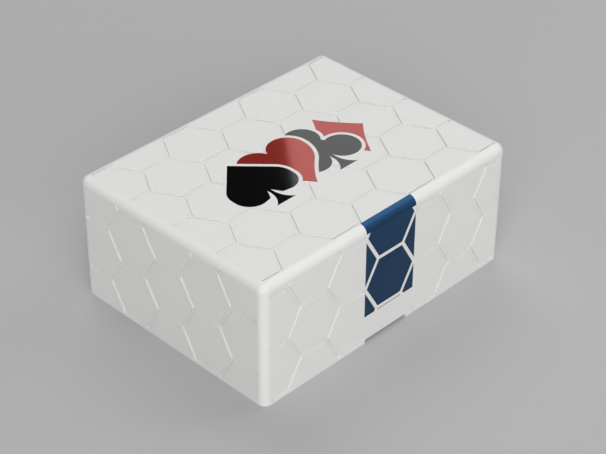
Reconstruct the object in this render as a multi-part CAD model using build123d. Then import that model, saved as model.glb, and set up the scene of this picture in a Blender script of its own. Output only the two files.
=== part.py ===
from build123d import *

import os
from math import acos, asin, atan2, cos, hypot, pi, radians, sin, sqrt

# A flat box for two decks of playing cards. A five-sided case is open at the front, and a drawer slides
# out of it. The whole front face of the box is the drawer's own front panel.
# Millimetres. X runs along the long front, the drawer opens towards -Y, +Z is up, and the origin is at the
# middle of the underside.

# ---- outside of the closed box ----
LENGTH = 105.0
WIDTH = 79.8
HEIGHT = 43.4
EDGE_RADIUS = 2.7  # on the upright and the top edges; the bottom edges are sharp

# ---- case and drawer ----
CASE_WALL = 2.7
MOUTH_CHAMFER = 0.5
CASE_CORNER = 1.0  # upright corners at the back of the cavity
SIDE_GAP = 0.35
TOP_GAP = 0.35
BACK_GAP = 0.5
TRAY_WALL = 2.4
TRAY_FRONT_WALL = 3.6
TRAY_FLOOR = 2.0
POCKET_CORNER = 3.0
POCKET_ROUND = 1.5
TRAY_CORNER = 1.5
RUNNER_HEIGHT = 0.5
RUNNER_WIDTH = 4.0
RUNNER_SPACING = 70.0

# ---- stops that keep the drawer from falling out ----
STOP_DROP = 1.2  # how far each stop hangs from the ceiling
STOP_WIDTH = 5.0
STOP_LENGTH = 2.0
STOP_SETBACK = 0.8  # from the mouth of the case
LUG_LENGTH = 4.0
LUG_RAMP = 2.0
TRAVEL = 58.0

# ---- pegs between the front panel and the tray ----
PEG_RADIUS = 1.5
PEG_LENGTH = 2.2
PEG_SPACING_X = 76.0
PEG_SPACING_Z = 20.0
PEG_CLEARANCE = 0.08
PEG_END_CLEARANCE = 0.2

# ---- finger notch under the front panel ----
NOTCH_LEFT = -10.2
NOTCH_RIGHT = 8.2
NOTCH_HEIGHT = 1.3
FINGER_SLOT_DEPTH = 9.0
FINGER_SLOT_CORNER = 3.0

# ---- hexagon grooves on every outer face but the bottom ----
HEX_SIDE = 10.73
GROOVE_WIDTH = 1.2
GROOVE_DEPTH = 0.6
GROOVE_BOTTOM_MARGIN = 0.9
GROOVE_MARK_MARGIN = 0.4
GROOVE_STRIP_MARGIN = 0.15

# ---- coloured inlays ----
INLAY_DEPTH = 1.0
STRIP_FOOT = 0.25  # height of the last blue line under the centre hexagon
SUIT_OVERLAP_LINE = 1.2  # white line round a suit that lies over its neighbour

# ---- card suits, each about its own upright centre line ----
MARK_BASE = -13.8
SPADE_X = -17.4
SPADE_TIP = 11.9
SPADE_LOBE_RADIUS = 6.85
SPADE_LOBE_X = 5.1
SPADE_LOBE_Y = -3.2
SPADE_HEEL_RADIUS = 5.8  # each lobe is fuller at its lower outer side
SPADE_HEEL_X = 6.15
SPADE_HEEL_Y = -4.45
SPADE_CLEFT_TOP = -5.2  # the lobes part here, either side of the stem
SPADE_CLEFT_SPREAD = 4.9
HEART_X = -4.15
HEART_LOBE_RADIUS = 6.65
HEART_LOBE_X = 6.2
HEART_LOBE_Y = 5.6
HEART_FLANK_RADIUS = 12.9
HEART_FLANK_TURN = radians(49.2)
HEART_HOLLOW_RADIUS = 49.0  # the flanks turn hollow on their way to the point
CLUB_X = 9.2
CLUB_TOP_RADIUS = 5.85
CLUB_TOP_Y = 6.35
CLUB_SIDE_RADIUS = 6.05
CLUB_SIDE_X = 6.55
CLUB_SIDE_Y = -4.65
CLUB_MIDDLE_RADIUS = 4.95
CLUB_MIDDLE_Y = -0.6
DIAMOND_X = 19.5
DIAMOND_HALF_WIDTH = 9.8
DIAMOND_TOP = 12.2
DIAMOND_BOTTOM = -13.4
DIAMOND_HOLLOW = 0.5
STEM_NECK = 0.65  # half-widths of the stem
STEM_WAIST = 1.4
STEM_FOOT = 3.85
STEM_TOP = -3.5
STEM_NECK_Y = -8.0
STEM_WAIST_Y = -10.9

# ---- values that follow from those above ----
FRONT_THICKNESS = EDGE_RADIUS
SEAM_Y = -WIDTH / 2 + FRONT_THICKNESS
GROOVE_TOP_Z = HEIGHT - EDGE_RADIUS
FACE_CENTRE_Z = GROOVE_TOP_Z / 2
HEX_RISE = sqrt(3) / 2 * HEX_SIDE
CEILING_Z = HEIGHT - CASE_WALL
CAVITY_HALF_LENGTH = LENGTH / 2 - CASE_WALL
CAVITY_BACK_Y = WIDTH / 2 - CASE_WALL
TRAY_HALF_LENGTH = CAVITY_HALF_LENGTH - SIDE_GAP
TRAY_BACK_Y = CAVITY_BACK_Y - BACK_GAP
TRAY_BOTTOM_Z = CASE_WALL + RUNNER_HEIGHT
TRAY_TOP_Z = CEILING_Z - STOP_DROP - TOP_GAP
STOP_BACK_Y = SEAM_Y + STOP_SETBACK + STOP_LENGTH
LUG_FRONT_Y = STOP_BACK_Y + TRAVEL
STRIP_BOTTOM_Z = FACE_CENTRE_Z - HEX_RISE - GROOVE_WIDTH / 2 - STRIP_FOOT
PEG_CENTRE_Z = (TRAY_BOTTOM_Z + TRAY_TOP_Z) / 2


def block(x_range, y_range, z_range):
    """A box between two limits on each axis."""
    size = [high - low for low, high in (x_range, y_range, z_range)]
    middle = [(high + low) / 2 for low, high in (x_range, y_range, z_range)]
    return Pos(*middle) * Box(*size)


def outer_block(front_y, back_y, rounded_end):
    """The outside of the box between two depths, with its upright and top edges rounded."""
    body = block((-LENGTH / 2, LENGTH / 2), (front_y, back_y), (0, HEIGHT))
    upright = body.edges().filter_by(Axis.Z)
    top = body.edges().filter_by(GeomType.LINE).group_by(Axis.Z)[-1]
    ends = upright.group_by(Axis.Y)[rounded_end] + top.filter_by(Axis.X).group_by(Axis.Y)[rounded_end]
    return fillet(ends + top.filter_by(Axis.Y), EDGE_RADIUS)


# ---- hexagon pattern, drawn flat about the middle of a face ----
def hexagon_centres(half_u, low_v, high_v):
    """Centres of the hexagons that reach into a rectangle, one of them at its origin."""
    columns = int(half_u / (1.5 * HEX_SIDE)) + 2
    rows = int(max(-low_v, high_v) / (2 * HEX_RISE)) + 2
    centres = []
    for column in range(-columns, columns + 1):
        for row in range(-rows, rows + 1):
            centres.append((column * 1.5 * HEX_SIDE, (2 * row + column % 2) * HEX_RISE))
    return centres


def hexagon(centre):
    """One cell of the pattern: a hexagon with its flats level, half a groove inside the lattice lines."""
    radius = HEX_SIDE - GROOVE_WIDTH / sqrt(3)
    return Pos(*centre) * RegularPolygon(radius, 6)


def groove_field(half_u, low_v, high_v):
    """The lattice lines inside a rectangle."""
    field = Pos(0, (low_v + high_v) / 2) * Rectangle(2 * half_u, high_v - low_v)
    return field - [hexagon(centre) for centre in hexagon_centres(half_u, low_v, high_v)]


def grooves(plane, field):
    """The cutter for a groove field on one outer face."""
    return extrude(plane * field, amount=-GROOVE_DEPTH)


def upright_face(origin, x_dir, z_dir):
    """A drawing plane on an upright face, centred on the face's flat part."""
    return Plane(origin=(*origin, FACE_CENTRE_Z), x_dir=x_dir, z_dir=z_dir)


def upright_field(half_width):
    """The groove field of an upright face: from just over the bottom edge to the rounded top edge."""
    return groove_field(half_width - EDGE_RADIUS, GROOVE_BOTTOM_MARGIN - FACE_CENTRE_Z, FACE_CENTRE_Z)


FRONT_FACE = upright_face((0, -WIDTH / 2), (1, 0, 0), (0, -1, 0))
BACK_FACE = upright_face((0, WIDTH / 2), (-1, 0, 0), (0, 1, 0))
LEFT_FACE = upright_face((-LENGTH / 2, 0), (0, -1, 0), (-1, 0, 0))
RIGHT_FACE = upright_face((LENGTH / 2, 0), (0, 1, 0), (1, 0, 0))
TOP_FACE = Plane(origin=(0, 0, HEIGHT))


def on_circle(centre, radius, angle):
    """The point of a circle at an angle in radians."""
    return (centre[0] + radius * cos(angle), centre[1] + radius * sin(angle))


def tangent_angles(centre, radius, tip):
    """Where the two tangents from a tip touch a circle, as angles about its centre."""
    reach = hypot(tip[0] - centre[0], tip[1] - centre[1])
    towards_tip = atan2(tip[1] - centre[1], tip[0] - centre[0])
    spread = acos(radius / reach)
    return towards_tip + spread, towards_tip - spread


def tangent_lean(centre, radius, tip):
    """How far a right-hand circle's outer tangent from a tip leans away from the upright centre line."""
    reach = hypot(centre[0], tip[1] - centre[1])
    return atan2(centre[0], abs(tip[1] - centre[1])) + asin(radius / reach)


def teardrop(centre, radius, tip):
    """A disc and the two straight tangents from it to a tip."""
    ends = [on_circle(centre, radius, angle) for angle in tangent_angles(centre, radius, tip)]
    return Pos(*centre) * Circle(radius) + Polygon(tip, *ends, align=None)


def stem(grow):
    """The stem of a spade or club: an upright neck, and a foot with hollow flanks."""
    neck, waist, foot = [half_width + grow for half_width in (STEM_NECK, STEM_WAIST, STEM_FOOT)]
    base = MARK_BASE - grow
    edges = [Line((-foot, base), (foot, base)), Line((-neck, STEM_TOP), (neck, STEM_TOP))]
    for side in (-1, 1):
        flank = [(side * foot, base), (side * waist, STEM_WAIST_Y), (side * neck, STEM_NECK_Y)]
        edges.append(ThreePointArc(*flank))
        edges.append(Line(flank[-1], (side * neck, STEM_TOP)))
    return make_face(edges)


def spade(grow=0.0):
    """Two round lobes under one point, on a stem, with the outline moved out by a distance."""
    lean = tangent_lean((SPADE_LOBE_X, SPADE_LOBE_Y), SPADE_LOBE_RADIUS, (0, SPADE_TIP))
    tip = (0, SPADE_TIP + grow / sin(lean))
    left, right = [
        teardrop((side * SPADE_LOBE_X, SPADE_LOBE_Y), SPADE_LOBE_RADIUS + grow, tip)
        + Pos(side * SPADE_HEEL_X, SPADE_HEEL_Y) * Circle(SPADE_HEEL_RADIUS + grow)
        for side in (-1, 1)
    ]
    cleft_lean = atan2(SPADE_CLEFT_SPREAD, SPADE_CLEFT_TOP - MARK_BASE)
    apex = (0, SPADE_CLEFT_TOP - grow / sin(cleft_lean))
    spread = SPADE_CLEFT_SPREAD - grow / cos(cleft_lean)
    cleft = Polygon(apex, (spread, MARK_BASE), (-spread, MARK_BASE), align=None)
    return Pos(SPADE_X, 0) * (left + right - cleft + stem(grow))


def heart(grow=0.0):
    """Two round shoulders, then full flanks that turn hollow on their way down to a point."""
    flank_centre = (HEART_LOBE_X + HEART_LOBE_RADIUS - HEART_FLANK_RADIUS, HEART_LOBE_Y)
    hollow_centre = on_circle(flank_centre, HEART_FLANK_RADIUS + HEART_HOLLOW_RADIUS, -HEART_FLANK_TURN)
    lobe_radius = HEART_LOBE_RADIUS + grow
    flank_radius = HEART_FLANK_RADIUS + grow
    hollow_radius = HEART_HOLLOW_RADIUS - grow
    cleft = (0, HEART_LOBE_Y + sqrt(lobe_radius**2 - HEART_LOBE_X**2))
    tip = (0, hollow_centre[1] + sqrt(hollow_radius**2 - hollow_centre[0] ** 2))
    hollow_start = pi - HEART_FLANK_TURN
    hollow_end = atan2(tip[1] - hollow_centre[1], -hollow_centre[0])
    shoulder, flank, waist = [
        on_circle(flank_centre, flank_radius, -HEART_FLANK_TURN * share) for share in (0, 0.5, 1)
    ]
    hollow = on_circle(hollow_centre, hollow_radius, (hollow_start + hollow_end) / 2)
    crest = (HEART_LOBE_X, HEART_LOBE_Y + lobe_radius)
    edges = []
    for side in (-1, 1):
        for start, middle, end in ((cleft, crest, shoulder), (shoulder, flank, waist), (waist, hollow, tip)):
            edges.append(ThreePointArc(*[(side * x, y) for x, y in (start, middle, end)]))
    return Pos(HEART_X, 0) * make_face(edges)


def club(grow=0.0):
    """Three round leaves round a middle, on a stem."""
    leaves = Pos(0, CLUB_TOP_Y) * Circle(CLUB_TOP_RADIUS + grow)
    leaves += Pos(0, CLUB_MIDDLE_Y) * Circle(CLUB_MIDDLE_RADIUS + grow)
    for side in (-1, 1):
        leaves += Pos(side * CLUB_SIDE_X, CLUB_SIDE_Y) * Circle(CLUB_SIDE_RADIUS + grow)
    return Pos(CLUB_X, 0) * (leaves + stem(grow))


def diamond(grow=0.0):
    """A lozenge with slightly hollow sides."""
    middle = (DIAMOND_TOP + DIAMOND_BOTTOM) / 2
    half_height = (DIAMOND_TOP - DIAMOND_BOTTOM) / 2
    lean = atan2(DIAMOND_HALF_WIDTH, half_height)
    tall = half_height + grow / sin(lean)
    wide = DIAMOND_HALF_WIDTH + grow / cos(lean)
    corners = [(0, tall), (wide, 0), (0, -tall), (-wide, 0)]
    edges = []
    for start, end in zip(corners, corners[1:] + corners[:1]):
        halfway = ((start[0] + end[0]) / 2, (start[1] + end[1]) / 2)
        shrink = 1 - DIAMOND_HOLLOW / hypot(*halfway)
        edges.append(ThreePointArc(start, (halfway[0] * shrink, halfway[1] * shrink), end))
    return Pos(DIAMOND_X, middle) * make_face(edges)


SUITS = {"spade_inlay": spade, "heart_inlay": heart, "club_inlay": club, "diamond_inlay": diamond}


def suit_outlines():
    """The suits' outlines by node name, front to back, each without what lies over it and its white line."""
    outlines = {}
    covers = []
    for name, suit in SUITS.items():
        outline = suit()
        for cover in covers:
            outline = outline - cover
        outlines[name] = outline
        covers.append(suit(SUIT_OVERLAP_LINE))
    return outlines


def whole_mark(grow):
    """The outline of all four suits together, moved out by a distance."""
    spade_and_heart = spade(grow) + heart(grow)
    return spade_and_heart + club(grow) + diamond(grow)


# ---- blue strip over the middle of the front panel ----
def strip_skin():
    """The layer that the strip takes up: down the front face and round the panel's top edge."""
    front_y = -WIDTH / 2
    inner = EDGE_RADIUS - INLAY_DEPTH
    slant = sqrt(0.5)
    edges = [
        Line((front_y, 0), (front_y, GROOVE_TOP_Z)),
        ThreePointArc(
            (front_y, GROOVE_TOP_Z),
            (SEAM_Y - EDGE_RADIUS * slant, GROOVE_TOP_Z + EDGE_RADIUS * slant),
            (SEAM_Y, HEIGHT),
        ),
        Line((SEAM_Y, HEIGHT), (SEAM_Y, HEIGHT - INLAY_DEPTH)),
        ThreePointArc(
            (SEAM_Y, HEIGHT - INLAY_DEPTH),
            (SEAM_Y - inner * slant, GROOVE_TOP_Z + inner * slant),
            (SEAM_Y - inner, GROOVE_TOP_Z),
        ),
        Line((SEAM_Y - inner, GROOVE_TOP_Z), (SEAM_Y - inner, 0)),
        Line((SEAM_Y - inner, 0), (front_y, 0)),
    ]
    across = Plane(origin=(0, 0, 0), x_dir=(0, 1, 0), z_dir=(1, 0, 0))
    return extrude(across * make_face(edges), amount=HEX_SIDE, both=True)


def strip_outlines():
    """The strip's cells by node name, drawn on the front face: what the white lattice lines leave."""
    bottom = STRIP_BOTTOM_Z - FACE_CENTRE_Z
    flat_top = GROOVE_TOP_Z - FACE_CENTRE_Z
    band = Pos(0, (bottom + flat_top) / 2) * Rectangle(2 * HEX_SIDE, flat_top - bottom)
    edge_cap = Pos(0, flat_top + EDGE_RADIUS / 2) * Rectangle(2 * HEX_SIDE, EDGE_RADIUS)
    centres = {
        "strip_hexagon": (0, 0),
        "strip_upper_left": (-1.5 * HEX_SIDE, HEX_RISE),
        "strip_upper_right": (1.5 * HEX_SIDE, HEX_RISE),
        "strip_lower_left": (-1.5 * HEX_SIDE, -HEX_RISE),
        "strip_lower_right": (1.5 * HEX_SIDE, -HEX_RISE),
        "strip_foot_line": (0, -2 * HEX_RISE),
    }
    cells = {name: band & hexagon(centre) for name, centre in centres.items()}
    cells["strip_crown"] = (band & hexagon((0, 2 * HEX_RISE))) + edge_cap
    return cells


# ---- pieces ----
def strip_inlays():
    """The strip's blue cells by node name, flush with the front panel."""
    skin = strip_skin()
    cells = strip_outlines().items()
    return {name: skin & extrude(FRONT_FACE * cell, amount=-2 * EDGE_RADIUS) for name, cell in cells}


def suit_inlays():
    """The suits by node name, flush with the case's top."""
    outlines = suit_outlines().items()
    return {name: extrude(TOP_FACE * outline, amount=-INLAY_DEPTH) for name, outline in outlines}


def case_stops():
    """The two small stops that hang from the ceiling just inside the mouth."""
    stops = []
    for side in (-1, 1):
        edge = side * CAVITY_HALF_LENGTH
        x_range = sorted((edge, edge - side * STOP_WIDTH))
        stop = block(x_range, (STOP_BACK_Y - STOP_LENGTH, STOP_BACK_Y), (CEILING_Z - STOP_DROP, CEILING_Z))
        lead = stop.edges().filter_by(Axis.X).group_by(Axis.Z)[0].sort_by(Axis.Y)[0]
        stops.append(chamfer(lead, STOP_DROP / 2))
    return stops


def finger_slot():
    """The cutter for the slot in the case's floor behind the finger notch."""
    middle_x = (NOTCH_LEFT + NOTCH_RIGHT) / 2
    slot = block((NOTCH_LEFT, NOTCH_RIGHT), (SEAM_Y - 1, SEAM_Y + FINGER_SLOT_DEPTH), (-1, CASE_WALL + 1))
    corners = slot.edges().filter_by(Axis.Z).group_by(Axis.Y)[-1]
    limit = (NOTCH_RIGHT - middle_x) * 0.98
    return fillet(corners, min(FINGER_SLOT_CORNER, limit))


def case_sleeve(inlays):
    """The case: five walls round the drawer, grooved outside, with pockets for the suits."""
    shell = outer_block(SEAM_Y, WIDTH / 2, -1)
    cavity = block(
        (-CAVITY_HALF_LENGTH, CAVITY_HALF_LENGTH), (SEAM_Y - 1, CAVITY_BACK_Y), (CASE_WALL, CEILING_Z)
    )
    cavity = fillet(cavity.edges().filter_by(Axis.Z).group_by(Axis.Y)[-1], CASE_CORNER)
    shell -= cavity
    mouth = shell.edges().filter_by_position(Axis.Y, SEAM_Y, SEAM_Y).filter_by(GeomType.LINE)
    inner_mouth = [edge for edge in mouth if on_cavity_wall(edge)]
    shell = chamfer(inner_mouth, MOUTH_CHAMFER)
    shell = shell + case_stops() - finger_slot()
    top_field = groove_field(LENGTH / 2 - EDGE_RADIUS, EDGE_RADIUS - WIDTH / 2, WIDTH / 2 - EDGE_RADIUS)
    shell -= grooves(TOP_FACE, top_field - whole_mark(GROOVE_MARK_MARGIN))
    shell -= grooves(LEFT_FACE, upright_field(WIDTH / 2))
    shell -= grooves(RIGHT_FACE, upright_field(WIDTH / 2))
    shell -= grooves(BACK_FACE, upright_field(LENGTH / 2))
    for inlay in inlays:
        shell -= inlay
    return shell


def on_cavity_wall(edge):
    """Whether an edge of the mouth lies on the cavity and not on the outside."""
    centre = edge.center()
    return abs(centre.X) < CAVITY_HALF_LENGTH + 0.01 and CASE_WALL - 0.01 < centre.Z < CEILING_Z + 0.01


def peg_places():
    """Where the front panel's pegs go into the tray, in X and Z."""
    places = []
    for x in (-PEG_SPACING_X / 2, PEG_SPACING_X / 2):
        for z in (PEG_CENTRE_Z - PEG_SPACING_Z / 2, PEG_CENTRE_Z + PEG_SPACING_Z / 2):
            places.append((x, z))
    return places


def peg(x, z, radius, length):
    """A round peg, or the hole for one, from the panel's back face into the tray."""
    base = Plane(origin=(x, SEAM_Y, z), z_dir=(0, 1, 0))
    return extrude(base * Circle(radius), amount=length)


def drawer_tray():
    """The tray: four walls and a floor on two runners, with stop lugs on the side walls."""
    tray = block(
        (-TRAY_HALF_LENGTH, TRAY_HALF_LENGTH), (SEAM_Y, TRAY_BACK_Y), (TRAY_BOTTOM_Z, TRAY_TOP_Z)
    )
    tray = fillet(tray.edges().filter_by(Axis.Z).group_by(Axis.Y)[-1], TRAY_CORNER)
    pocket_floor_z = TRAY_BOTTOM_Z + TRAY_FLOOR
    pocket = block(
        (-TRAY_HALF_LENGTH + TRAY_WALL, TRAY_HALF_LENGTH - TRAY_WALL),
        (SEAM_Y + TRAY_FRONT_WALL, TRAY_BACK_Y - TRAY_WALL),
        (pocket_floor_z, TRAY_TOP_Z + 1),
    )
    pocket = fillet(pocket.edges().filter_by(Axis.Z), POCKET_CORNER)
    pocket = fillet(pocket.faces().sort_by(Axis.Z)[0].edges(), POCKET_ROUND)
    tray -= pocket
    for side in (-1, 1):
        runner_x = side * RUNNER_SPACING / 2
        tray += block(
            (runner_x - RUNNER_WIDTH / 2, runner_x + RUNNER_WIDTH / 2),
            (SEAM_Y, TRAY_BACK_Y - TRAY_CORNER),
            (CASE_WALL, TRAY_BOTTOM_Z),
        )
        tray += stop_lug(side)
    for x, z in peg_places():
        tray -= peg(x, z, PEG_RADIUS + PEG_CLEARANCE, PEG_LENGTH + PEG_END_CLEARANCE)
    return tray


def stop_lug(side):
    """A lug on a side wall: upright towards the mouth, ramped towards the back so that it snaps in."""
    top_z = CEILING_Z - TOP_GAP
    outline = Polygon(
        (LUG_FRONT_Y, TRAY_TOP_Z),
        (LUG_FRONT_Y, top_z),
        (LUG_FRONT_Y + LUG_LENGTH - LUG_RAMP, top_z),
        (LUG_FRONT_Y + LUG_LENGTH, TRAY_TOP_Z),
        align=None,
    )
    outer_x = side * TRAY_HALF_LENGTH
    across = Plane(origin=(outer_x - side * TRAY_WALL / 2, 0, 0), x_dir=(0, 1, 0), z_dir=(1, 0, 0))
    return extrude(across * outline, amount=TRAY_WALL / 2, both=True)


def drawer_front(inlays):
    """The front panel: grooved, notched at the bottom and pocketed for the blue strip."""
    whole = outer_block(-WIDTH / 2, 0, 0)
    panel = whole & block((-LENGTH, LENGTH), (-WIDTH, SEAM_Y), (-1, HEIGHT + 1))
    panel -= block((NOTCH_LEFT, NOTCH_RIGHT), (-WIDTH, SEAM_Y + 1), (-1, NOTCH_HEIGHT))
    strip_column = Rectangle(2 * (HEX_SIDE + GROOVE_STRIP_MARGIN), 2 * HEIGHT)
    panel -= grooves(FRONT_FACE, upright_field(LENGTH / 2) - strip_column)
    for inlay in inlays:
        panel -= inlay
    for x, z in peg_places():
        panel += peg(x, z, PEG_RADIUS, PEG_LENGTH)
    return panel


def build_pieces():
    """Every piece of the box by node name. The inlays fill their pockets, with no clearance."""
    strip = strip_inlays()
    suits = suit_inlays()
    pieces = {
        "case_sleeve": case_sleeve(suits.values()),
        "drawer_tray": drawer_tray(),
        "drawer_front": drawer_front(strip.values()),
    }
    return {**pieces, **strip, **suits}


if __name__ == "__main__":
    os.makedirs("parts", exist_ok=True)
    for node, shape in build_pieces().items():
        export_step(shape, f"parts/{node}.step")
        print(node, round(shape.volume, 2))
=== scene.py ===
"""Looks of a white box with a drawer for two decks of playing cards, in a plain soft studio."""

import logging
import math
from dataclasses import dataclass
from enum import Enum
from typing import Any, Mapping, Optional, Union

import bpy
from mathutils import Matrix, Vector

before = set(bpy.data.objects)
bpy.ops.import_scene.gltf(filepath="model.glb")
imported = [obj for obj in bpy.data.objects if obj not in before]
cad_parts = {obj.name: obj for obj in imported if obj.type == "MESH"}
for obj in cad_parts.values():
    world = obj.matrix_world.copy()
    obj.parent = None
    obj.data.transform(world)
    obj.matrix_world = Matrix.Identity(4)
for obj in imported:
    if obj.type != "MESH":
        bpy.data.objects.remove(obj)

LOG = logging.getLogger("card_box")

# Lengths are in metres
MM = 0.001
BOX_LENGTH = 105.0 * MM
# Socket numbers of a Mix node that is set to colours
MIX_SHARE, MIX_FIRST, MIX_SECOND, MIX_COLOUR_OUT = 0, 6, 7, 2
Colour = tuple[float, float, float]


class Side(Enum):
    """The bodies of the box that move against each other."""

    CASE = "case"
    DRAWER = "drawer"


def darker(colour: Colour, share: float) -> Colour:
    """A colour times a share."""
    return tuple(share * part for part in colour)


def direction(azimuth: float, elevation: float) -> Vector:
    """The unit vector towards a place in the studio.

    Args:
        azimuth: Degrees from +X towards +Y.
        elevation: Degrees above the floor.

    Returns:
        The vector.
    """
    turn, rise = math.radians(azimuth), math.radians(elevation)
    return Vector((math.cos(turn) * math.cos(rise), math.sin(turn) * math.cos(rise), math.sin(rise)))


def show(name: str, data: bpy.types.ID) -> bpy.types.Object:
    """Puts a mesh, a lamp or a camera into the scene.

    Args:
        name: The object's name.
        data: What it shows.

    Returns:
        The new object.
    """
    shown = bpy.data.objects.new(name, data)
    bpy.context.scene.collection.objects.link(shown)
    return shown


class Flow:
    """A shader socket that can be used in Python expressions."""

    def __init__(self, shop: "NodeShop", socket: bpy.types.NodeSocket) -> None:
        """Wraps one output socket.

        Args:
            shop: The material's node maker.
            socket: The output socket that this value comes from.
        """
        self.shop = shop
        self.socket = socket

    def _math(self, operation: str, *values: Union["Flow", float]) -> "Flow":
        """Adds one Math node.

        Args:
            operation: The Math node's operation.
            values: Its inputs, in order.

        Returns:
            The node's result.
        """
        return self.shop.add("ShaderNodeMath", {"operation": operation}, dict(enumerate(values)))

    def __add__(self, other: Union["Flow", float]) -> "Flow":
        """self + other."""
        return self._math("ADD", self, other)

    def __radd__(self, other: float) -> "Flow":
        """other + self."""
        return self._math("ADD", other, self)

    def __sub__(self, other: Union["Flow", float]) -> "Flow":
        """self - other."""
        return self._math("SUBTRACT", self, other)

    def __rsub__(self, other: float) -> "Flow":
        """other - self."""
        return self._math("SUBTRACT", other, self)

    def __mul__(self, other: Union["Flow", float]) -> "Flow":
        """self * other."""
        return self._math("MULTIPLY", self, other)

    def __rmul__(self, other: float) -> "Flow":
        """other * self."""
        return self._math("MULTIPLY", other, self)

    def __abs__(self) -> "Flow":
        """The size of self, without its sign."""
        return self._math("ABSOLUTE", self)

    def at_least(self, other: Union["Flow", float]) -> "Flow":
        """The larger of self and other."""
        return self._math("MAXIMUM", self, other)

    def at_most(self, other: Union["Flow", float]) -> "Flow":
        """The smaller of self and other."""
        return self._math("MINIMUM", self, other)

    def step(self, low: float, high: float) -> "Flow":
        """0 up to low, 1 from high on, and a smooth rise between them.

        Args:
            low: Where the rise starts.
            high: Where it ends.

        Returns:
            The value of the rise at self.
        """
        settings = {"interpolation_type": "SMOOTHSTEP"}
        inputs = {"Value": self, "From Min": low, "From Max": high}
        return self.shop.add("ShaderNodeMapRange", settings, inputs)


@dataclass
class NodeShop:
    """Makes the nodes of one node tree."""

    tree: bpy.types.NodeTree

    def add(
        self,
        kind: str,
        settings: Optional[Mapping[str, Any]] = None,
        inputs: Optional[Mapping[Any, Any]] = None,
        out: Union[str, int] = 0,
    ) -> Flow:
        """Adds one node.

        Args:
            kind: The node's Blender type.
            settings: Attributes of the node, set before its inputs.
            inputs: A value or a Flow for each named or numbered input socket.
            out: The output socket to return, by name or number.

        Returns:
            The chosen output.
        """
        node = self.tree.nodes.new(kind)
        for name, value in (settings or {}).items():
            setattr(node, name, value)
        for key, value in (inputs or {}).items():
            if isinstance(value, Flow):
                self.tree.links.new(value.socket, node.inputs[key])
            else:
                node.inputs[key].default_value = value
        return Flow(self, node.outputs[out])

    def noise(self, place: Flow, scale: float, detail: float = 2.0, roughness: float = 0.5) -> Flow:
        """Soft noise between 0 and 1.

        Args:
            place: The coordinates.
            scale: Waves per metre.
            detail: Finer layers on top.
            roughness: How strong those are.

        Returns:
            The noise.
        """
        inputs = {"Vector": place, "Scale": scale, "Detail": detail, "Roughness": roughness}
        return self.add("ShaderNodeTexNoise", inputs=inputs, out="Fac")

    def blend(self, share: Union[Flow, float], first: Any, second: Any) -> Flow:
        """A mix of two colours.

        Args:
            share: 0 for the first, 1 for the second.
            first: A colour or a Flow.
            second: A colour or a Flow.

        Returns:
            The mixed colour.
        """
        colours = [value if isinstance(value, Flow) else (*value, 1.0) for value in (first, second)]
        inputs = {MIX_SHARE: share, MIX_FIRST: colours[0], MIX_SECOND: colours[1]}
        return self.add("ShaderNodeMix", {"data_type": "RGBA"}, inputs, MIX_COLOUR_OUT)

    def bump(self, height: Flow, distance: float, strength: float = 1.0) -> Flow:
        """A Normal that follows a height.

        Args:
            height: The height, 0 to 1.
            distance: Metres between 0 and 1.
            strength: Share of the effect.

        Returns:
            The normal.
        """
        inputs = {"Height": height, "Distance": distance, "Strength": strength}
        return self.add("ShaderNodeBump", inputs=inputs)

    def place(self) -> Flow:
        """Object coordinates, in metres."""
        return self.add("ShaderNodeTexCoord", out="Object")

    def roundness(self, low: float = 0.01, high: float = 0.2) -> Flow:
        """0 on flat faces that lie along the box's axes, up to 1 in the middle of its rounded edges.

        Args:
            low: How far the normal leans from an axis where the mask starts to rise.
            high: How far it leans where the mask reaches 1.

        Returns:
            The mask.
        """
        normal = self.add("ShaderNodeTexCoord", out="Normal")
        parts = [self.add("ShaderNodeSeparateXYZ", inputs={0: normal}, out=axis) for axis in range(3)]
        largest = abs(parts[0]).at_least(abs(parts[1])).at_least(abs(parts[2]))
        return (1.0 - largest).step(low, high)


@dataclass(frozen=True)
class Finish:
    """A surface finish. Each kind dresses a new Principled material."""

    name: str
    colour: Colour
    roughness: float

    def material(self) -> bpy.types.Material:
        """Makes the material.

        Returns:
            The finished material.
        """
        material = bpy.data.materials.new(self.name)
        material.use_nodes = True
        shader = material.node_tree.nodes["Principled BSDF"]
        shop = NodeShop(material.node_tree)
        shader.inputs["Base Color"].default_value = (*self.colour, 1.0)
        shader.inputs["Roughness"].default_value = self.roughness
        for socket, value in self.dress(shop).items():
            if isinstance(value, Flow):
                material.node_tree.links.new(value.socket, shader.inputs[socket])
            else:
                shader.inputs[socket].default_value = value
        material.diffuse_color = (*self.colour, 1.0)
        return material

    def dress(self, shop: NodeShop) -> dict[str, Any]:
        """The values and links of the shader's sockets. Each finish has its own.

        Args:
            shop: The material's node maker.

        Returns:
            A value or a Flow for each named socket.
        """
        raise NotImplementedError


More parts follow.
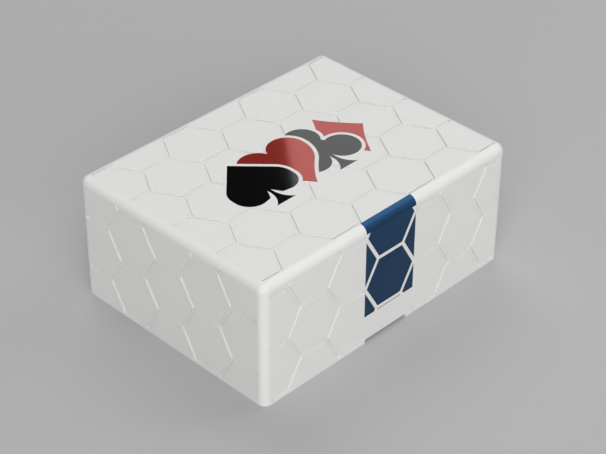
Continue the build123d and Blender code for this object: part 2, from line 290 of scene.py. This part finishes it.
@dataclass(frozen=True)
class SatinWhite(Finish):
    """Satin white moulded plastic, even in colour on its flat faces and smoother where its rounded edges are
    handled; the light on the rounded edges is painted into their colour.
    """

    # Base colour of the rounded edges: painted light standing in for how bright the fillets look, now set
    # close to the flat colour.
    fillet_painted_light: Colour = (0.765, 0.765, 0.75)
    ior: float = 1.34
    grain_depth: float = 0.012 * MM
    grain_scale: float = 3200.0
    grain_share: float = 0.7
    grain_sway: float = 0.05
    pore_scale: float = 900.0
    cloud_scale: float = 38.0
    cloud_shade: float = 0.975
    cloud_sway: float = 0.08
    edge_polish: float = 0.06

    def dress(self, shop: NodeShop) -> dict[str, Any]:
        """A fine eggshell grain, faint clouds in the colour, smoother rounded edges, and painted light in the
        rounded edges' colour.

        Args:
            shop: The material's node maker.

        Returns:
            A value or a Flow for each named socket.
        """
        place = shop.place()
        edge = shop.roundness()
        cloud = shop.noise(place, self.cloud_scale, detail=3.0)
        grain = shop.noise(place, self.grain_scale, roughness=0.6)
        pores = shop.noise(place, self.pore_scale, detail=1.0)
        flat = shop.blend(cloud, darker(self.colour, self.cloud_shade), self.colour)
        sway = self.cloud_sway * (cloud - 0.5) + self.grain_sway * (grain - 0.5)
        height = self.grain_share * grain + (1.0 - self.grain_share) * pores
        return {
            # Painted light: the rounded edges blend from the flat colour to the fillets' painted light
            # colour.
            "Base Color": shop.blend(edge, flat, self.fillet_painted_light),
            "Roughness": self.roughness + sway - self.edge_polish * edge,
            "Normal": shop.bump(height, self.grain_depth),
            "IOR": self.ior,
        }


@dataclass(frozen=True)
class GlossInlay(Finish):
    """A hard, glossy inlay, flowed nearly flat, with faint hairline marks."""

    metallic: float = 0.0
    ior: float = 1.5
    peel_depth: float = 0.001 * MM
    peel_scale: float = 420.0
    cloud_scale: float = 150.0
    cloud_shade: float = 0.9
    cloud_sway: float = 0.02
    hair_scale: float = 5200.0
    hair_stretch: tuple[float, float, float] = (0.15, 1.0, 1.0)
    hair_range: tuple[float, float] = (0.62, 0.8)
    hair_sway: float = 0.03

    def dress(self, shop: NodeShop) -> dict[str, Any]:
        """Gloss with a little orange peel and uneven depth of colour.

        Args:
            shop: The material's node maker.

        Returns:
            A value or a Flow for each named socket.
        """
        place = shop.place()
        cloud = shop.noise(place, self.cloud_scale)
        peel = shop.noise(place, self.peel_scale, detail=1.0)
        drawn_out = shop.add("ShaderNodeMapping", inputs={"Vector": place, "Scale": self.hair_stretch})
        hairs = shop.noise(drawn_out, self.hair_scale, detail=1.0)
        sway = self.cloud_sway * (cloud - 0.5) + self.hair_sway * hairs.step(*self.hair_range)
        return {
            "Base Color": shop.blend(cloud, darker(self.colour, self.cloud_shade), self.colour),
            "Roughness": self.roughness + sway,
            "Metallic": self.metallic,
            "Normal": shop.bump(peel, self.peel_depth),
            "IOR": self.ior,
        }


@dataclass(frozen=True)
class BlueLacquer(Finish):
    """Dark blue metallic lacquer with very fine flakes."""

    metallic: float = 1.0
    ior: float = 1.5
    cloud_scale: float = 120.0
    cloud_sway: float = 0.05
    flake_scale: float = 9000.0
    flake_depth: float = 0.003 * MM
    flake_strength: float = 0.6
    flake_shade: float = 0.85

    def dress(self, shop: NodeShop) -> dict[str, Any]:
        """Fine flakes that catch the light a little differently, under a smooth skin.

        Args:
            shop: The material's node maker.

        Returns:
            A value or a Flow for each named socket.
        """
        place = shop.place()
        cloud = shop.noise(place, self.cloud_scale)
        inputs = {"Vector": place, "Scale": self.flake_scale}
        flakes = shop.add("ShaderNodeTexVoronoi", inputs=inputs, out="Distance")
        tone = (0.5 * cloud + 0.5 * flakes).at_most(1.0)
        return {
            "Base Color": shop.blend(tone, darker(self.colour, self.flake_shade), self.colour),
            "Roughness": self.roughness + self.cloud_sway * (cloud - 0.5),
            "Metallic": self.metallic,
            "Normal": shop.bump(flakes, self.flake_depth, self.flake_strength),
            "IOR": self.ior,
        }


@dataclass
class Part:
    """A group of CAD nodes of one body that are shown as they are, each in its own finish."""

    title: str = ""
    side: Side = Side.CASE

    def finishes(self) -> dict[str, Finish]:
        """The finish of each CAD node.

        Returns:
            Node names and their finishes.
        """
        raise NotImplementedError

    def build(self) -> None:
        """Dresses every node of the group."""
        made: dict[str, bpy.types.Material] = {}
        for node, finish in self.finishes().items():
            if finish.name not in made:
                made[finish.name] = finish.material()
            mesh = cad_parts[node].data
            mesh.materials.clear()
            mesh.materials.append(made[finish.name])
            LOG.info("%s, body %s: %s in %s", self.title, self.side.value, node, finish.name)


@dataclass
class Case(Part):
    """The outer case, which the drawer slides out of."""

    title: str = "case"
    side: Side = Side.CASE
    shell: SatinWhite = SatinWhite("case_white", (0.77, 0.77, 0.755), 0.6)

    def finishes(self) -> dict[str, Finish]:
        """White outside and in."""
        return {"case_sleeve": self.shell}


@dataclass
class SuitMark(Part):
    """The four suits let into the case's top."""

    title: str = "suits"
    side: Side = Side.CASE
    black: GlossInlay = GlossInlay("inlay_black", (0.002, 0.002, 0.0022), 0.05)
    red: GlossInlay = GlossInlay("inlay_red", (0.37, 0.035, 0.027), 0.05, metallic=0.32)

    def finishes(self) -> dict[str, Finish]:
        """Black and red in turn."""
        return {
            "spade_inlay": self.black,
            "heart_inlay": self.red,
            "club_inlay": self.black,
            "diamond_inlay": self.red,
        }


@dataclass
class Drawer(Part):
    """The tray and its front panel."""

    title: str = "drawer"
    side: Side = Side.DRAWER
    panel: SatinWhite = SatinWhite("panel_white", (0.77, 0.77, 0.755), 0.6)
    tray: SatinWhite = SatinWhite("tray_white", (0.77, 0.77, 0.75), 0.55, grain_depth=0.016 * MM)

    def finishes(self) -> dict[str, Finish]:
        """The panel matches the case; the tray is a little rougher."""
        return {"drawer_front": self.panel, "drawer_tray": self.tray}


@dataclass
class Strip(Part):
    """The blue strip over the middle of the front panel."""

    title: str = "strip"
    side: Side = Side.DRAWER
    cells: tuple[str, ...] = (
        "hexagon",
        "upper_left",
        "upper_right",
        "lower_left",
        "lower_right",
        "foot_line",
        "crown",
    )
    blue: BlueLacquer = BlueLacquer("strip_blue", (0.026, 0.086, 0.2), 0.36)

    def finishes(self) -> dict[str, Finish]:
        """One blue for all the cells."""
        return {f"strip_{cell}": self.blue for cell in self.cells}


@dataclass(frozen=True)
class FloorFinish(Finish):
    """A plain studio table top with a faint sheen."""

    ior: float = 1.2
    cloud_scale: float = 3.0
    cloud_shade: float = 0.985
    cloud_sway: float = 0.06

    def dress(self, shop: NodeShop) -> dict[str, Any]:
        """Faint clouds in the colour and the sheen.

        Args:
            shop: The material's node maker.

        Returns:
            A value or a Flow for each named socket.
        """
        cloud = shop.noise(shop.place(), self.cloud_scale)
        return {
            "Base Color": shop.blend(cloud, darker(self.colour, self.cloud_shade), self.colour),
            "Roughness": self.roughness + self.cloud_sway * (cloud - 0.5),
            "IOR": self.ior,
        }


@dataclass(frozen=True)
class Lamp:
    """A square area lamp that looks at the box.

    Its azimuth and elevation are degrees, its size is a share of its distance, and a radiance of 1 is white.
    """

    name: str
    azimuth: float
    elevation: float
    radiance: float
    size: float = 0.6
    mirrored: bool = False
    away: float = 4.0

    def build(self) -> None:
        """Adds the lamp, which reflections show only if it is mirrored."""
        towards = direction(self.azimuth, self.elevation)
        light = bpy.data.lights.new(self.name, "AREA")
        light.shape = "SQUARE"
        light.size = self.size * self.away
        light.energy = self.radiance * math.pi * light.size**2
        lamp = show(self.name, light)
        turned = towards.to_track_quat("Z", "Y").to_matrix().to_4x4()
        lamp.matrix_world = Matrix.Translation(towards * self.away) @ turned
        lamp.visible_glossy = self.mirrored


@dataclass(frozen=True)
class GlowPanel:
    """An upright glowing panel that is seen only in reflections.

    Its left edge runs from one azimuth at the bottom to another at the top, so it may slant. Azimuths and the
    elevations of its bottom and top are degrees, and a glow of 1 is white.
    """

    name: str
    lefts: tuple[float, float]
    right: float
    rises: tuple[float, float]
    glow: float
    away: float = 1.5

    def corner(self, azimuth: float, elevation: float) -> tuple[float, float, float]:
        """The point on an upright cylinder round the box that lies in a direction.

        Args:
            azimuth: Degrees from +X towards +Y.
            elevation: Degrees above the floor.

        Returns:
            The point, in metres.
        """
        turn, rise = math.radians(azimuth), math.radians(elevation)
        return (self.away * math.cos(turn), self.away * math.sin(turn), self.away * math.tan(rise))

    def material(self) -> bpy.types.Material:
        """The panel's light, the same all over."""
        material = bpy.data.materials.new(f"{self.name}_glow")
        material.use_nodes = True
        light = NodeShop(material.node_tree).add("ShaderNodeEmission", inputs={"Strength": self.glow})
        surface = material.node_tree.nodes["Material Output"].inputs["Surface"]
        material.node_tree.links.new(light.socket, surface)
        return material

    def build(self) -> None:
        """Adds the panel, hidden from everything but reflections."""
        edges = zip(self.lefts, self.rises)
        corners = [self.corner(turn, rise) for left, rise in edges for turn in (left, self.right)]
        mesh = bpy.data.meshes.new(self.name)
        mesh.from_pydata(corners, [], [(0, 1, 3, 2)])
        mesh.materials.append(self.material())
        panel = show(self.name, mesh)
        panel.visible_camera = False
        panel.visible_diffuse = False
        panel.visible_shadow = False


@dataclass
class Studio:
    """Floor, light and camera.

    The first four lamps stand in front of the box. Then come one each from the right, from above and from
    behind. The tall panel's slanted edge is mirrored as the change from dark to light across the suits. The
    low panel lights the strip's rounded top. The dim panel in front hardly shows from the photograph's side,
    and lightens that rounded top from other sides.

    The camera's angles are degrees, its sensor is in millimetres, and its focal length is in pixels of the
    photograph, like the photograph's width.
    """

    floor_colour: Colour = (0.464, 0.464, 0.467)
    floor_roughness: float = 0.6
    floor_reach: float = 6.0
    backdrop: Colour = (0.45, 0.45, 0.453)
    sky: float = 0.061
    dark: float = 0.03
    lamps: tuple[Lamp, ...] = (
        Lamp("front", -140.0, 40.0, 3.65),
        Lamp("front_right", -119.0, 40.0, 1.05),
        Lamp("low_left", -142.0, 20.0, 1.9),
        Lamp("low_right", -105.0, 20.0, 1.65),
        Lamp("right", -17.0, 43.0, 1.6, mirrored=True),
        Lamp("top", -120.0, 80.0, 0.46, size=1.0, mirrored=True),
        Lamp("back", 60.0, 50.0, 2.6),
    )
    panels: tuple[GlowPanel, ...] = (
        GlowPanel("panel", (50.1, 26.0), -15.0, (8.0, 70.0), 1.62),
        GlowPanel("low_panel", (-25.0, -25.0), -85.0, (2.0, 40.0), 0.75),
        GlowPanel("front_panel", (-92.0, -92.0), -172.0, (4.0, 50.0), 0.35),
    )
    azimuth: float = -45.41308
    elevation: float = 35.59324
    roll: float = 0.25851
    distance: float = 5.52091 * BOX_LENGTH
    across: float = -0.02359 * BOX_LENGTH
    above: float = -0.1388 * BOX_LENGTH
    photo_focal: float = 1821.44
    photo_width: float = 606.0
    sensor: float = 36.0

    def build(self) -> None:
        """Sets everything up."""
        self.floor()
        self.world()
        for light in (*self.lamps, *self.panels):
            light.build()
        self.camera()
        bpy.context.scene.view_settings.view_transform = "Standard"
        LOG.info("studio: floor, %d lamps, %d panels and camera", len(self.lamps), len(self.panels))

    def floor(self) -> None:
        """A wide pale floor with faint clouds."""
        mesh = bpy.data.meshes.new("floor")
        signs = ((-1, -1), (1, -1), (1, 1), (-1, 1))
        corners = [(x * self.floor_reach, y * self.floor_reach, 0.0) for x, y in signs]
        mesh.from_pydata(corners, [], [(0, 1, 2, 3)])
        floor = show("floor", mesh)
        mesh.materials.append(FloorFinish("floor_grey", self.floor_colour, self.floor_roughness).material())

    def world(self) -> None:
        """Soft light from all round for matt surfaces, a plain backdrop, and a dark room in reflections."""
        world = bpy.data.worlds.new("studio")
        bpy.context.scene.world = world
        world.use_nodes = True
        shop = NodeShop(world.node_tree)
        from_camera = shop.add("ShaderNodeLightPath", out="Is Camera Ray")
        from_gloss = shop.add("ShaderNodeLightPath", out="Is Glossy Ray")
        light = shop.blend(from_gloss, (self.sky,) * 3, (self.dark,) * 3)
        shown = shop.blend(from_camera, light, self.backdrop)
        background = world.node_tree.nodes["Background"]
        world.node_tree.links.new(shown.socket, background.inputs["Color"])

    def camera(self) -> None:
        """The camera, at the photograph's viewing angle."""
        turn, rise, tilt = (math.radians(angle) for angle in (self.azimuth, self.elevation, self.roll))
        back = Vector((math.sin(turn) * math.cos(rise), -math.cos(turn) * math.cos(rise), math.sin(rise)))
        right = Vector((math.cos(turn), math.sin(turn), 0.0))
        up = back.cross(right)
        right, up = right * math.cos(tilt) + up * math.sin(tilt), up * math.cos(tilt) - right * math.sin(tilt)
        place = back * self.distance - right * self.across - up * self.above
        data = bpy.data.cameras.new("camera")
        data.sensor_width = self.sensor
        data.lens = self.photo_focal / self.photo_width * self.sensor
        camera = show("camera", data)
        camera.matrix_world = Matrix.Translation(place) @ Matrix((right, up, back)).transposed().to_4x4()
        bpy.context.scene.camera = camera


def main() -> None:
    """Builds the box's groups in order, then the studio."""
    logging.basicConfig(level=logging.INFO, format="%(message)s")
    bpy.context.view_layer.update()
    for part in (Case(), SuitMark(), Drawer(), Strip()):
        part.build()
    Studio().build()


if __name__ == "__main__":
    main()
